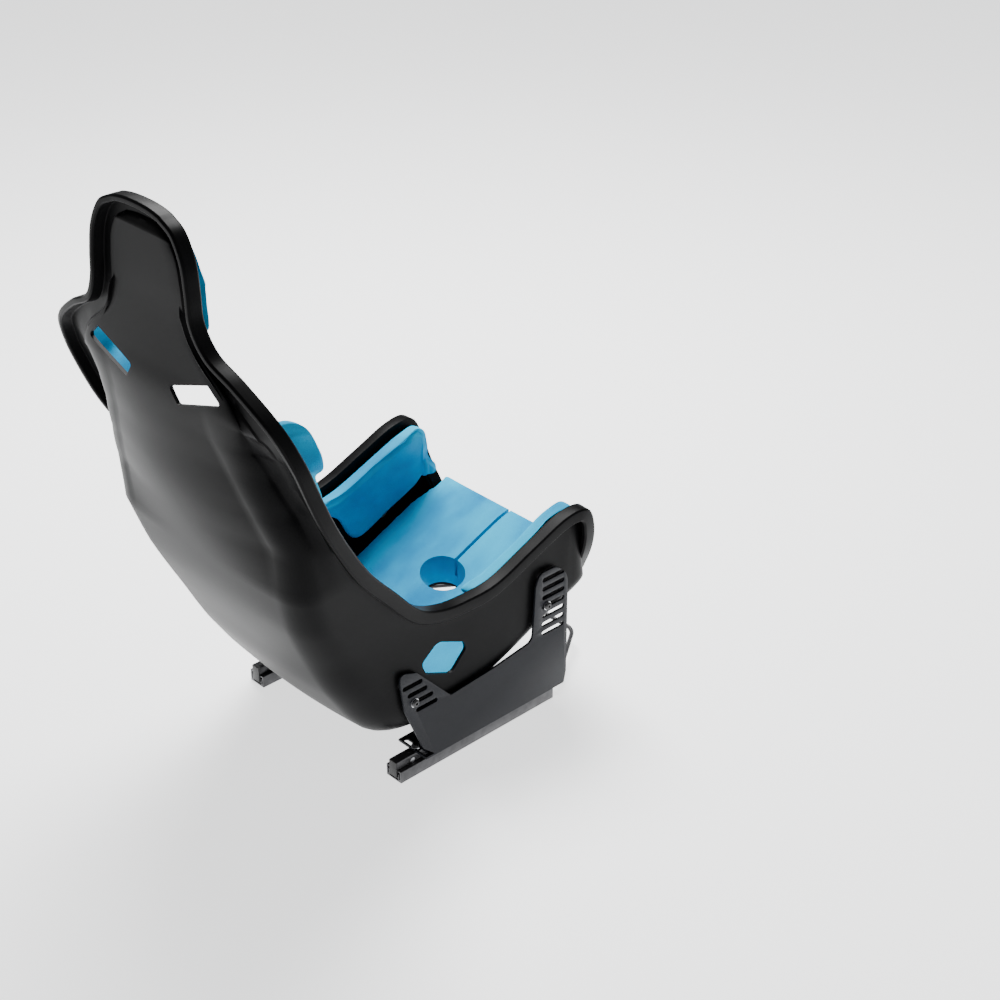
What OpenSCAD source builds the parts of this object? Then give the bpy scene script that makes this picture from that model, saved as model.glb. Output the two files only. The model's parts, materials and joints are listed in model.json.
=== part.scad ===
// Fixed-back racing seat on side brackets and a pair of locking slide rails.
// Millimetres. The driver faces -Y, +Z is up, the origin is under the middle of the seat's footprint.

/* [Shell] */
// Wall thickness of the moulded shell
wall = 6; // [4:0.5:8]
// Width across the shoulder wings
shoulder_w = 576; // [540:2:600]
// Width across the head
head_w = 248; // [230:2:270]
// Height of the hip line above the floor
hip_z = 409; // [400:1:420]
// Height from the hip line to the shoulder line
torso_l = 410; // [380:5:440]
// Height from the shoulder line to the top of the head
head_l = 208; // [190:2:230]
// Depth of the rolled rim
rim_depth = 25; // [20:1:30]
// Width of the rim's turned-back lip
lip_w = 11; // [9:0.5:13]
// Diameter of the moulded pad round each side insert
boss_d = 40; // [36:1:46]

/* [Cushions] */
// Thickness of the headrest cushion
headrest_t = 34; // [26:1:40]
// Thickness of the lower back cushion
back_t = 32; // [24:1:38]
// Thickness of the side bolster cushions
bolster_t = 54; // [46:1:58]
// Thickness of the thigh side cushions
thigh_t = 22; // [16:1:28]
// Height of the base cushion's top above the floor, at the strap hole
base_top_z = 181; // [175:1:188]
// Slope of the base cushion's top in degrees
base_slope = 23.5; // [20:0.5:26]
// Width of the split between the two halves of the base cushion
split_w = 8; // [5:1:12]
// Depth of that split
split_depth = 24; // [10:1:30]
// Thickness of the hook-and-loop patches behind the cushions
hook_t = 1.2; // [0.8:0.1:1.4]

/* [Side brackets] */
// Thickness of the bracket plate
bracket_t = 4; // [3:0.5:5]
// Distance between the outer faces of the two brackets
bracket_span = 440; // [438:1:446]
// How far the thigh rims stand out past each bracket
rim_past = 11; // [8:1:16]
// How far each bracket's flange reaches in past its rail's middle line
flange_in = 35; // [31:1:38]
// Width of an adjusting slot
slot_w = 8.6; // [8.4:0.1:9]
// Vertical pitch of the adjusting slots
slot_pitch = 17.5; // [16:0.5:18]

/* [Fasteners] */
// Diameter of the side and flange bolts
bolt_d = 8; // [6:1:8]
// Head diameter of those bolts
bolt_head_d = 14; // [13:0.5:16]
// Head height of those bolts
bolt_head_h = 4.4; // [3:0.1:5]
// Outer diameter of a washer
washer_d = 16; // [16:0.5:18]
// Thickness of a washer
washer_t = 1.6; // [1:0.1:2]

/* [Rails] */
// Length of each rail
rail_l = 350; // [340:2:360]
// Distance between the middle lines of the two rails
rail_gauge = 370; // [366:1:374]
// Outer width of the lower rail
rail_w = 36; // [34:0.5:38]
// Outer height of the lower rail
lower_h = 22; // [21:0.5:24]
// Height of the upper rail's top face above the floor
rail_top_z = 37; // [36:0.5:40]
// Sheet thickness of the rails
rail_t = 2.5; // [2:0.1:2.8]
// Radius of the lower rail's mounting holes
mount_r = 4.2; // [4:0.1:4.6]
// Distance between a lower rail's mounting holes
mount_pitch = 310; // [300:1:316]
// Pitch of the lock windows along the lower rail
lock_pitch = 15; // [12:1:16]
// Number of teeth on a lock lever
lock_teeth = 4; // [2:1:5]

/* [Release bar] */
// Diameter of the release bar
bar_d = 8; // [7:0.5:9]
// Distance from the seat's back to the front of the release bar
bar_reach = 770; // [760:5:790]
// Width of the bar's front grip
grip_w = 220; // [180:5:260]

/* [Hidden] */

seat_depth = bar_reach + bar_d / 2;
back_y = seat_depth / 2;
seat = 0.3;
fit = 0.05;
shoulder_x = shoulder_w / 2;
head_x = head_w / 2;
thigh_x = bracket_span / 2 + rim_past;
neck_z = hip_z + torso_l;

// A point given as distance to the driver's right, distance forward of the back, and height
function at(p) = [-p.x, back_y - p.y, p.z];
function mix(a, b, t) = a + (b - a) * t;
function unit(a) = a / max(norm(a), 0.0001);
function head_z(t) = neck_z + head_l * t;
function torso_z(t) = hip_z + torso_l * t;

// Each station across the shell: spine forward, spine height, rim sideways, rim forward,
// rim height, and the angle at which the rim faces (0 forward, 90 up)
STATIONS = [
  [14, head_z(0.820), head_x - 66, 32, head_z(0.968), 0],
  [14, head_z(0.770), head_x - 33, 30, head_z(0.888), 0],
  [14, head_z(0.660), head_x - 11, 28, head_z(0.710), 0],
  [14, head_z(0.480), head_x - 3, 26, head_z(0.500), 0],
  [14, head_z(0.280), head_x + 2, 25, head_z(0.300), 0],
  [12, head_z(0.060), head_x + 26, 28, head_z(0.115), 0],
  [9, torso_z(0.930), head_x + 76, 32, torso_z(0.995), 0],
  [5, torso_z(0.835), shoulder_x - 26, 43, torso_z(0.880), 0],
  [8, torso_z(0.720), shoulder_x - 2, 62, torso_z(0.740), 0],
  [14, torso_z(0.600), shoulder_x, 83, torso_z(0.600), 2],
  [23, torso_z(0.440), shoulder_x - 3, 108, torso_z(0.460), 6],
  [38, torso_z(0.285), shoulder_x - 13, 142, torso_z(0.315), 14],
  [60, torso_z(0.100), mix(shoulder_x, thigh_x, 0.45), 188, torso_z(0.150), 28],
  [86, hip_z - 39, mix(shoulder_x, thigh_x, 0.68), 243, hip_z, 44],
  [127, hip_z - 129, thigh_x + 7, 300, hip_z - 62, 60],
  [176, hip_z - 224, thigh_x + 2, 352, hip_z - 87, 76],
  [250, hip_z - 318, thigh_x, 405, hip_z - 94, 88],
  [362, hip_z - 335, thigh_x, 470, hip_z - 90, 90],
  [480, hip_z - 306, thigh_x, 552, hip_z - 59, 92],
  [590, hip_z - 259, thigh_x + 1, 626, hip_z - 31, 90],
  [655, hip_z - 231, thigh_x + 3, 674, hip_z - 33, 55],
  [688, hip_z - 216, thigh_x - 2, 696, hip_z - 76, 18],
  [704, hip_z - 209, thigh_x - 16, 706, hip_z - 128, 4],
  [712, hip_z - 205, thigh_x - 44, 716, hip_z - 184, 0]];
LAST = len(STATIONS) - 1;

// Distance from the rim's edge in to the shell's panel, and how far the panel sits behind the rim
function ledge_w(v) = lookup(v, [[0, 30], [1, 34], [2, 36], [5, 38], [6, 48], [7, 62], [8, 64], [9, 56],
  [10, 38], [11, 21], [15, 20], [18, 20], [20, 23], [23, 16]]);
function ledge_d(v) = lookup(v, [[0, 12], [5, 10], [9, 9], [10, 14], [11, 24], [12, 28], [19, 28], [21, 20],
  [23, 14]]);
// Width of the bend from the panel into the side wall, its share of the depth, the panel's crown,
// and how far the wall flares out again to meet the wings
function bend_x(v) = lookup(v, [[0, 20], [5, 40], [7, 70], [10, 60], [11, 60], [14, 66], [17, 64], [23, 46]]);
function bend_y(v) = lookup(v, [[0, 0.5], [10, 0.55], [11, 0.45], [12, 0.42], [13, 0.36], [14, 0.4], [17, 0.27],
  [20, 0.24], [23, 0.3]]);
function crown(v) = lookup(v, [[0, 0], [5, 0.05], [7, 0.15], [10, 0.3], [11, 0.3], [12, 0.06], [13, 0.03], [23, 0.01]]);
function flare(v) = lookup(v, [[6, 0], [7, 26], [8, 36], [10, 28], [12, 0]]);

function catmull(a, b, c, d, t) =
  0.5 * (2 * b + (c - a) * t + (2 * a - 5 * b + 4 * c - d) * t * t + (3 * b - a - 3 * c + d) * t * t * t);
function station(v) = let(i = max(0, min(LAST - 1, floor(v))), s = STATIONS,
  before = i > 0 ? s[i - 1] : 2 * s[0] - s[1],
  after = i + 2 <= LAST ? s[i + 2] : 2 * s[LAST] - s[LAST - 1])
  catmull(before, s[i], s[i + 1], after, v - i);

// The rim runs round the shell: across the head, down the right side, across the front, up the left
function rim_side(v) = let(q = station(v)) [q[2], q[3], q[4]];
function rim_head(s) = let(q = rim_side(0)) [q.x * s, q.y, q.z + (head_z(1) - q.z) * (1 - pow(abs(s), 2.4))];
front_low = 20;
front_bow = 12;
function rim_front(s) = let(q = rim_side(LAST))
  [q.x * s, q.y + front_bow * (1 - s * s), q.z - front_low * (1 - pow(abs(s), 8))];
function faces(v) = let(a = station(v)[5]) [0, cos(a), sin(a)];
step = 0.04;
function out_side(v) = unit(cross(rim_side(min(v + step, LAST)) - rim_side(max(v - step, 0)), faces(v)));
function out_head(s) = let(side = out_side(0), k = pow(abs(s), 3))
  unit([side.x * k * sign(s), 0, mix(1, side.z, k)]);
function out_front(s) = let(side = out_side(LAST), k = pow(abs(s), 8))
  unit([side.x * k * sign(s), mix(0, side.y, k), mix(-1, side.z, k)]);

// Edge of the shell's panel, below the rolled rim
function edge_side(v) = rim_side(v) - ledge_w(v) * out_side(v) - ledge_d(v) * faces(v);
function edge_head(s) = rim_head(s) - ledge_w(0) * out_head(s) - ledge_d(0) * faces(0);
function edge_front(s) = rim_front(s) - ledge_w(LAST) * out_front(s) - ledge_d(LAST) * faces(LAST);

// Half section at a station: flat panel, bend, side wall with its flare
bend_from = 0.5;
bend_to = 0.85;
function half(u, v, deep, wide) = let(
  wall_x = wide - flare(v), cx = min(bend_x(v), wall_x * 0.8), cy = bend_y(v) * deep, up = crown(v) * deep)
  u <= bend_from ? [(wall_x - cx) * u / bend_from, up * pow(u / bend_from, 2)]
  : u <= bend_to ? let(a = 90 * (u - bend_from) / (bend_to - bend_from))
    [wall_x - cx + cx * sin(a), up + cy * (1 - cos(a))]
  : let(t = (u - bend_to) / (1 - bend_to)) [wall_x + flare(v) * t * t, up + cy + (deep - up - cy) * t];
function outer(u, v) = let(q = station(v), e = edge_side(v), s = [0, q[0], q[1]],
  d = [0, e.y - s.y, e.z - s.z], h = half(min(abs(u), 1), v, norm(d), e.x))
  s + [h.x * sign(u), 0, 0] + unit(d) * h.y;
function normal(u, v) = let(
  a = outer(min(u + step, 1), v) - outer(max(u - step, -1), v),
  b = outer(u, min(v + step * 4, LAST)) - outer(u, max(v - step * 4, 0)))
  unit(cross(a, b));

/* Seat shell */
side = 10;
cols = 2 * side;
per_station = 2;
rows = LAST * per_station;
function col_u(j) = (j - side) / side;
function row_v(i) = i / per_station;
function skin(i, j) = i == 0 ? edge_head(col_u(j))
  : i == rows ? edge_front(col_u(j)) : outer(col_u(j), row_v(i));
function skin_n(i, j) = let(
  a = skin(i, min(j + 1, cols)) - skin(i, max(j - 1, 0)),
  b = skin(min(i + 1, rows), j) - skin(max(i - 1, 0), j))
  unit(cross(a, b));
inner_grid = [for (i = [0 : rows]) [for (j = [0 : cols]) skin(i, j) + wall * skin_n(i, j)]];
// The grid cell met at step k of a walk round a grid of n by m
function cell(k, n, m) = k < m ? [0, k] : k < m + n ? [k - m, m] : k < 2 * m + n ? [n, 2 * m + n - k]
  : [2 * (m + n) - k, 0];
ring_n = 2 * (rows + cols);
function mirror_x(p, s) = [p.x * s, p.y, p.z];
// Rim point, outward direction, facing direction and ledge width at each place round the rim
function ring_frame(k) = let(c = cell(k, rows, cols), u = col_u(c[1]), v = row_v(c[0]))
  c[0] == 0 && abs(u) < 1 ? [rim_head(u), out_head(u), faces(0), ledge_w(0)]
  : c[0] == rows && abs(u) < 1 ? [rim_front(u), out_front(u), faces(LAST), ledge_w(LAST)]
  : [mirror_x(rim_side(v), u), mirror_x(out_side(v), u), faces(v), ledge_w(v)];
// The rolled rim as steps inward from its edge and back from its face
rim_top_w = 24;
function rim_steps(w) = [
  [max(w - 3, lip_w + 5), wall + 1], [lip_w + 2, wall], [lip_w, rim_depth - 2], [lip_w - 2, rim_depth],
  [3, rim_depth], [0, rim_depth - 3], [0, 4], [1.8, 1], [min(w + wall - 4, rim_top_w), 0]];
rim_count = len(rim_steps(0));

// A closed skin from two grids of points and the rings between them
module closed_skin(back, rings, front, n, m) {
  count = 2 * (n + m);
  rings_n = len(rings);
  size = (n + 1) * (m + 1);
  inner_at = size + rings_n * count;
  function id(i, j) = i * (m + 1) + j;
  function on_ring(r, k) = let(c = cell(k % count, n, m))
    r < 0 ? id(c[0], c[1]) : r == rings_n ? inner_at + id(c[0], c[1]) : size + r * count + k % count;
  polyhedron(points = [for (p = back) at(p), for (r = rings) for (p = r) at(p), for (p = front) at(p)],
    faces = [
      for (i = [0 : n - 1]) for (j = [0 : m - 1]) let(a = id(i, j), b = id(i + 1, j)) each
        [[a, a + 1, b + 1], [a, b + 1, b]],
      for (i = [0 : n - 1]) for (j = [0 : m - 1]) let(a = inner_at + id(i, j), b = inner_at + id(i + 1, j)) each
        [[a, b + 1, a + 1], [a, b, b + 1]],
      for (r = [-1 : rings_n - 1]) for (k = [0 : count - 1]) let(a = on_ring(r, k), b = on_ring(r, k + 1),
        c = on_ring(r + 1, k), d = on_ring(r + 1, k + 1)) each
        [[a, c, d], [a, d, b]]], convexity = 10);
}

module shell_skin() {
  frames = [for (k = [0 : ring_n - 1]) ring_frame(k)];
  closed_skin(
    [for (i = [0 : rows]) for (j = [0 : cols]) skin(i, j)],
    [for (r = [0 : rim_count - 1]) [for (f = frames) let(s = rim_steps(f[3])[r])
      f[0] - s[0] * f[1] - s[1] * f[2]]],
    [for (row = inner_grid) each row],
    rows, cols);
}

// Children are drawn with X to the driver's right, Y forward from the seat's back, Z up
module seat_frame() {
  translate([0, back_y, 0]) rotate([0, 0, 180]) children();
}
module left_side() {
  mirror([1, 0, 0]) children();
}
module both_sides() {
  children();
  left_side() children();
}

// A closed outline from corners given as [x, y, radius]
function turn(a, b) = atan2(a.x * b.y - a.y * b.x, a.x * b.x + a.y * b.y);
function rounded(corners) = let(n = len(corners)) [for (i = [0 : n - 1]) let(
  c = corners[i], b = corners[(i + n - 1) % n], a = corners[(i + 1) % n],
  p = [c[0], c[1]], back = unit([b[0], b[1]] - p), on = unit([a[0], a[1]] - p),
  open = abs(turn(back, on)), r = c[2]) each r == 0 ? [p] : let(
  mid = p + unit(back + on) * r / sin(open / 2), start = p + back * r / tan(open / 2) - mid,
  sweep = sign(turn(start, p + on * r / tan(open / 2) - mid)) * (180 - open),
  k = max(2, ceil((180 - open) / 18)))
  [for (j = [0 : k]) let(w = sweep * j / k)
    mid + [start.x * cos(w) - start.y * sin(w), start.x * sin(w) + start.y * cos(w)]]];

// An outline in forward and height, extruded sideways from x
module across(x, length) {
  translate([x, 0, 0]) rotate([90, 0, 90]) linear_extrude(length) children();
}
// A cylinder along X
module cross_rod(x, f, z, r, length) {
  translate([x, f, z]) rotate([0, 90, 0]) cylinder(r = r, h = length, $fn = 48);
}
module slot_2d(l, w) {
  square([l - w, w], center = true);
  for (e = [-1, 1]) translate([e * (l - w) / 2, 0]) circle(d = w, $fn = 32);
}

/* Places shared by the shell, its inserts and the brackets */
washer_in = bracket_span / 2;
head_in = washer_in + washer_t;
bracket_x = washer_in - bracket_t;
spacer_t = 4;
boss_out = bracket_x - spacer_t;
boss_in = boss_out - 8;
front_slot_z = 215.5;
bolt_places = [[296, front_slot_z - 3 * slot_pitch], [592, front_slot_z]];
insert_r = 10;
strap_f = 554;
strap_l = 68;
strap_w = 100;
belt_hole = [[355, 248, 18], [412, 222, 9], [417, 206, 9], [384, 172, 14], [330, 197, 10], [320, 221, 10]];
harness_slot = [[64, 740, 4], [164, 772, 5], [136, 795, 4], [46, 765, 4]];

module strap_hole(grow) {
  translate([0, strap_f, 0]) linear_extrude(hip_z) resize([strap_w + grow, strap_l + grow])
    circle(d = strap_w, $fn = 40);
}

module seat_shell() {
  color("#2b2c2e") difference() {
    union() {
      shell_skin();
      seat_frame() both_sides() for (p = bolt_places)
        cross_rod(boss_in, p[0], p[1], boss_d / 2, boss_out - boss_in);
    }
    seat_frame() {
      both_sides() {
        translate([0, -rim_depth, 0]) rotate([90, 0, 0]) mirror([0, 0, 1]) linear_extrude(head_w / 2)
          polygon(rounded(harness_slot));
        across(boss_in - rim_depth, 2 * rim_depth) polygon(rounded(belt_hole));
        for (p = bolt_places) cross_rod(boss_in - 10, p[0], p[1], insert_r, 30);
      }
      strap_hole(0);
    }
  }
}

/* Cushions */
hook_gap = 0.6;
cushion_gap = hook_gap + hook_t + 2 * seat;
// The shell's inner face, facet by facet, and from u = 1 to 1.3 the band up to the top of the rim
function on_grid(u, v) = let(g = inner_grid, x = (u + 1) * side, y = v * per_station,
  j = min(cols - 1, floor(x)), i = min(rows - 1, floor(y)), s = x - j, t = y - i)
  s >= t ? g[i][j] + s * (g[i][j + 1] - g[i][j]) + t * (g[i + 1][j + 1] - g[i][j + 1])
  : g[i][j] + t * (g[i + 1][j] - g[i][j]) + s * (g[i + 1][j + 1] - g[i + 1][j]);
function top_at(v) = rim_side(v) - min(ledge_w(v) + wall - 4, rim_top_w) * out_side(v);
function rim_top(v) = let(i = min(rows - 1, floor(v * per_station)))
  mix(top_at(row_v(i)), top_at(row_v(i + 1)), v * per_station - i);
function inner_at(u, v) = let(a = abs(u),
  q = a <= 1 ? on_grid(a, v) : mix(on_grid(1, v), rim_top(v), (a - 1) / 0.3)) mirror_x(q, u < 0 ? -1 : 1);
// Gap between a cushion and the shell at a place, wider round the corner from the wall to the rim
corner_gap = 10;
function corner_reach(a, v) = a < 1 ? lookup(v, [[12, 0.18], [14, 0.1]]) : 0.35;
function gap_at(u, v, gap) = let(a = abs(u), w = max(0, min(1, (a - 0.94) / 0.12)),
  band = unit(cross(rim_top(v) - on_grid(1, v), rim_side(v + step) - rim_side(v - step))),
  away = unit(mix(normal(min(a, 1), v), band, w)))
  mirror_x((gap + corner_gap * max(0, 1 - abs(a - 1) / corner_reach(a, v))) * away, u < 0 ? -1 : 1);
// Direction in which a cushion stands off the shell; roll sets where it turns to face the way the rim does
function inner_n(u, v, roll) = let(a = abs(u), w = max(0, min(1, (a - roll) / 0.35)))
  unit(mix(normal(min(a, 1) * sign(u), v), faces(v), w));
corner = 0.34;
draw_in = 0.035;
// Where a place on a cushion lies on the shell: s and t run from -1 to 1, k draws the outline in
function pad_uv(low, high, v0, v1, s, t, k) = let(
  a = s * k * sqrt(1 - corner * t * t / 2) * (1 - draw_in * (1 - t * t)),
  b = t * k * sqrt(1 - corner * s * s / 2) * (1 - draw_in * (1 - s * s)), v = mix(v0, v1, (b + 1) / 2))
  [mix(lookup(v, low), lookup(v, high), (a + 1) / 2), v];
base_up = [0, -sin(base_slope), cos(base_slope)];
base_least = 22;
// How far the base cushion's underside rises at its front corners, to clear the shell's lip
corner_lift = 9;
function base_depth(p) = let(d = (base_top_z + tan(base_slope) * (p.y - strap_f) - p.z) * cos(base_slope))
  (d + sqrt(d * d + 4 * base_least * base_least)) / 2;
// A point on a cushion at a share of its thickness, which like its roll is given by station;
// a flat one rises to the base cushion's top
function pad_at(low, high, v0, v1, thick, s, t, k, up, flat, gap, roll, spread) = let(
  w = pad_uv(low, high, v0, v1, s, t, k), n = inner_n(w[0], w[1], lookup(w[1], roll)),
  front = pow(max(0, t), 3), lean = max(0, up - 0.25)
    * [spread.x * pow(s, 3) * (flat ? front * front : 1), spread.y * front, -spread.z * pow(t, 3)],
  lift = [0, 0, flat ? corner_lift * front * pow(s, 4) : 0],
  p = inner_at(w[0], w[1]) + gap_at(w[0], w[1], gap) + lean + lift, deep = lookup(w[1], thick),
  swell = 1 + 0.1 * (1 - s * s) * (1 - t * t))
  flat ? p + base_up * (base_depth(p) * up + deep * (swell - 1) * up)
  : p + n * deep * up * (up < 1 ? 1 : swell);
module cushion(low, high, v0, v1, thick, n = 12, m = 12, flat = false, gap = cushion_gap, roll = [[0, 2]],
  spread = [0, 0, 0]) {
  function grid(k, up) = [for (i = [0 : n]) for (j = [0 : m])
    pad_at(low, high, v0, v1, thick, 2 * j / m - 1, 2 * i / n - 1, k, up, flat, gap, roll, spread)];
  function edge(k, up) = [for (q = [0 : 2 * (n + m) - 1]) let(c = cell(q, n, m))
    pad_at(low, high, v0, v1, thick, 2 * c[1] / m - 1, 2 * c[0] / n - 1, k, up, flat, gap, roll, spread)];
  closed_skin(grid(0.95, 0), [edge(0.99, 0.22), edge(1, 0.6), edge(0.985, 0.86)], grid(0.93, 1), n, m);
}

cushion_blue = "#2f9fd0";
module headrest_cushion() {
  color(cushion_blue) cushion([[0, -0.9]], [[0, 0.9]], 0.3, 4.5, [[0.3, headrest_t - 16], [1.4, headrest_t - 8],
    [3, headrest_t - 3], [4, headrest_t - 7], [4.5, headrest_t - 18]], roll = [[0, 0.45]], spread = [16, 0, 16]);
}
module back_cushion() {
  color(cushion_blue) cushion([[0, -0.5]], [[0, 0.5]], 8.3, 14.8, [[0, back_t]]);
}
module right_back_bolster() {
  color(cushion_blue) cushion([[6.6, 1.13], [7.7, 1.12], [8.6, 0.86], [9.6, 0.56], [12, 0.56], [12.8, 0.66]],
    [[6.6, 1.22], [8.7, 1.2], [9.4, 0.97], [12.8, 0.95]], 6.6, 12.8,
    [[6.6, bolster_t - 18], [7.3, bolster_t - 5], [8.2, bolster_t - 12], [9.4, bolster_t - 22],
    [12.8, bolster_t - 28]], n = 16, roll = [[8.6, 0.75], [10.2, 1.2]]);
}
module left_back_bolster() {
  left_side() right_back_bolster();
}
module right_thigh_cushion() {
  color(cushion_blue) cushion([[16.3, 1.0], [17.3, 0.95], [18, 0.866], [20, 0.872], [21, 0.9], [22, 0.96]],
    [[0, 1.2]], 16.3, 22.5, [[0, thigh_t]], spread = [0, 46, 0]);
}
module left_thigh_cushion() {
  left_side() right_thigh_cushion();
}
module base_cushion() {
  color(cushion_blue) difference() {
    cushion([[20, -0.66], [22, -0.57]], [[20, 0.66], [22, 0.57]], 16.15, 21.9, [[0, 4]], flat = true,
      spread = [20, 66, 0]);
    seat_frame() {
      strap_hole(-6);
      translate([-split_w / 2, strap_f, base_top_z]) rotate([base_slope, 0, 0]) translate([0, 0, -split_depth])
        cube([split_w, seat_depth, split_depth + 2 * base_least]);
    }
  }
}

// Thin patches that hold the cushions, flat against the shell
module patch(u0, u1, v0, v1) {
  cushion([[0, u0]], [[0, u1]], v0, v1, [[0, hook_t]], n = 2, m = 8, gap = hook_gap);
}
module hook_patches() {
  color("#1c1c1c") {
    patch(-0.4, 0.4, 2.2, 3.0);
    patch(-0.35, 0.35, 9.2, 9.9);
    patch(-0.35, 0.35, 12.1, 12.9);
    patch(-0.35, 0.35, 16.9, 17.3);
    patch(-0.35, 0.35, 20.6, 21.4);
    for (e = [0, 1]) mirror([e, 0, 0]) {
      patch(0.77, 0.82, 11.4, 12.0);
      patch(0.87, 0.9, 18.4, 19.4);
    }
  }
}

/* Side brackets and their fasteners */
module shell_inserts() {
  color("#b9bcc0") seat_frame() both_sides() for (p = bolt_places) difference() {
    cross_rod(boss_in, p[0], p[1], insert_r - fit, boss_out - boss_in);
    cross_rod(boss_in - 1, p[0], p[1], bolt_d / 2 + fit, boss_out - boss_in + 2);
  }
}
module shell_spacers() {
  color("#2a2c30") seat_frame() both_sides() for (p = bolt_places) difference() {
    cross_rod(boss_out, p[0], p[1], 12, spacer_t);
    cross_rod(boss_out - 1, p[0], p[1], slot_w / 2, spacer_t + 2);
  }
}
// Bracket outline: forward, height, corner radius
flange_z = rail_top_z;
bracket_outline = [[341, flange_z, 3], [636, flange_z, 3], [641, 60, 5], [641, 262, 40], [612, 283, 18],
  [575, 284, 14], [566, 262, 10], [563, 212, 20], [559, 158, 16], [470, 146, 60], [374, 139, 6], [303, 217, 8],
  [268, 230, 8], [268, 205, 10], [276, 152, 12], [313, 62, 10]];
// Middle and length of each rear slot, from the top down
rear_slots = [[293, 42], [303, 42], [314, 44], [322, 46]];
flange_slot_l = 56;
front_slots = [-3, -2, -1, 0, 1, 2, 3];
front_slot_f = 607;
front_slot_l = 52;
rear_slot_top = front_slot_z - slot_pitch;
module right_side_bracket() {
  color("#34363b") seat_frame() difference() {
    union() {
      across(bracket_x, bracket_t) polygon(rounded(bracket_outline));
      translate([rail_x - flange_in, 318, flange_z]) cube([washer_in - rail_x + flange_in, 312, bracket_t]);
    }
    across(bracket_x - 1, bracket_t + 2) {
      for (i = [0 : 3]) translate([rear_slots[i][0], rear_slot_top - i * slot_pitch])
        slot_2d(rear_slots[i][1], slot_w);
      for (k = front_slots) translate([front_slot_f, front_slot_z + k * slot_pitch])
        slot_2d(front_slot_l, slot_w);
    }
    for (f = flange_bolt_f) translate([rail_x, f, flange_z - 1]) linear_extrude(bracket_t + 2)
      slot_2d(flange_slot_l, slot_w);
  }
}
module left_side_bracket() {
  left_side() right_side_bracket();
}
module ring_x(x, f, z, d, bore, t) {
  difference() {
    cross_rod(x, f, z, d / 2, t);
    cross_rod(x - 1, f, z, bore / 2, t + 2);
  }
}
module bracket_washers() {
  color("#8f9296") seat_frame() both_sides() for (p = bolt_places)
    ring_x(washer_in, p[0], p[1], washer_d, bolt_d + 0.6, washer_t);
}
// A button-head bolt pointing down from the underside of its head, with a hexagon socket
module button_bolt(length) {
  difference() {
    union() {
      cylinder(r = bolt_head_d / 2, h = bolt_head_h * 0.5, $fn = 48);
      translate([0, 0, bolt_head_h * 0.5])
        cylinder(r1 = bolt_head_d / 2, r2 = (bolt_head_d - bolt_head_h) / 2, h = bolt_head_h * 0.5, $fn = 48);
      translate([0, 0, -length]) cylinder(r = bolt_d / 2, h = length, $fn = 48);
    }
    translate([0, 0, bolt_head_h * 0.4]) cylinder(r = bolt_d * 0.33, h = bolt_head_h, $fn = 6);
  }
}
module bracket_bolts() {
  color("#191a1c") seat_frame() both_sides() for (p = bolt_places)
    translate([head_in, p[0], p[1]]) rotate([0, 90, 0]) button_bolt(head_in - boss_in - 1);
}

/* Slide rails */
rail_f = 277;
rail_mid = rail_f + rail_l / 2;
flange_bolt_f = [rail_f + 49, rail_f + rail_l - 27];
rail_x = rail_gauge / 2;
web = 9;
foot = 13;
foot_z = 6;
curl_h = 9;
lower_in = rail_w / 2 - rail_t;
lip_gap = web + 1;
slide_travel = 90;
nut_w = 12.6;
nut_t = 3.4;
function profile(half) = concat(half, [for (i = [len(half) - 1 : -1 : 0]) [-half[i][0], half[i][1]]]);
// A profile in width and height, extruded along the rail
module along(f0, f1) {
  translate([rail_x, f1, 0]) rotate([90, 0, 0]) linear_extrude(f1 - f0) children();
}
module right_upper_rail() {
  color("#3c3e42") seat_frame() difference() {
    along(rail_f, rail_f + rail_l) polygon(profile([
      [web - rail_t, rail_top_z - rail_t], [web - rail_t, foot_z], [foot, foot_z],
      [foot, foot_z + curl_h], [foot - rail_t, foot_z + curl_h], [foot - rail_t, foot_z + rail_t],
      [web, foot_z + rail_t], [web, rail_top_z]]));
    for (f = flange_bolt_f) translate([rail_x, f, rail_top_z - 5])
      cylinder(r = bolt_d / 2 + fit, h = 10, $fn = 48);
    cross_rod(rail_x - 20, pivot_f, pivot_z, pin_r + fit, 40);
  }
}
module left_upper_rail() {
  left_side() right_upper_rail();
}
window = 9;
tooth = 7;
stop_t = 2.4;
mount_f = [rail_mid - mount_pitch / 2, rail_mid + mount_pitch / 2];
module right_lower_rail() {
  color("#2e3034") seat_frame() {
    difference() {
      along(rail_f, rail_f + rail_l) polygon(profile([[0, 0], [rail_w / 2, 0], [rail_w / 2, lower_h],
        [lip_gap, lower_h], [lip_gap, lower_h - rail_t], [lower_in, lower_h - rail_t], [lower_in, rail_t],
        [0, rail_t]]));
      for (k = [-8 : 8]) translate([rail_x - window / 2, rail_mid + k * lock_pitch - window / 2, -1])
        cube([window, window, 10]);
      for (f = mount_f) translate([rail_x, f, -1]) cylinder(r = mount_r, h = 10, $fn = 48);
    }
    for (f = [rail_f, rail_f + rail_l - stop_t]) for (e = [-1, 1])
      translate([rail_x + (e > 0 ? foot - rail_t : -lower_in), f, rail_t])
        cube([lower_in - foot + rail_t, stop_t, foot_z - 0.5 - rail_t]);
  }
}
module left_lower_rail() {
  left_side() right_lower_rail();
}
glide_l = 40;
glide_f = rail_l / 2 - slide_travel - glide_l - stop_t - 0.6;
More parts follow.
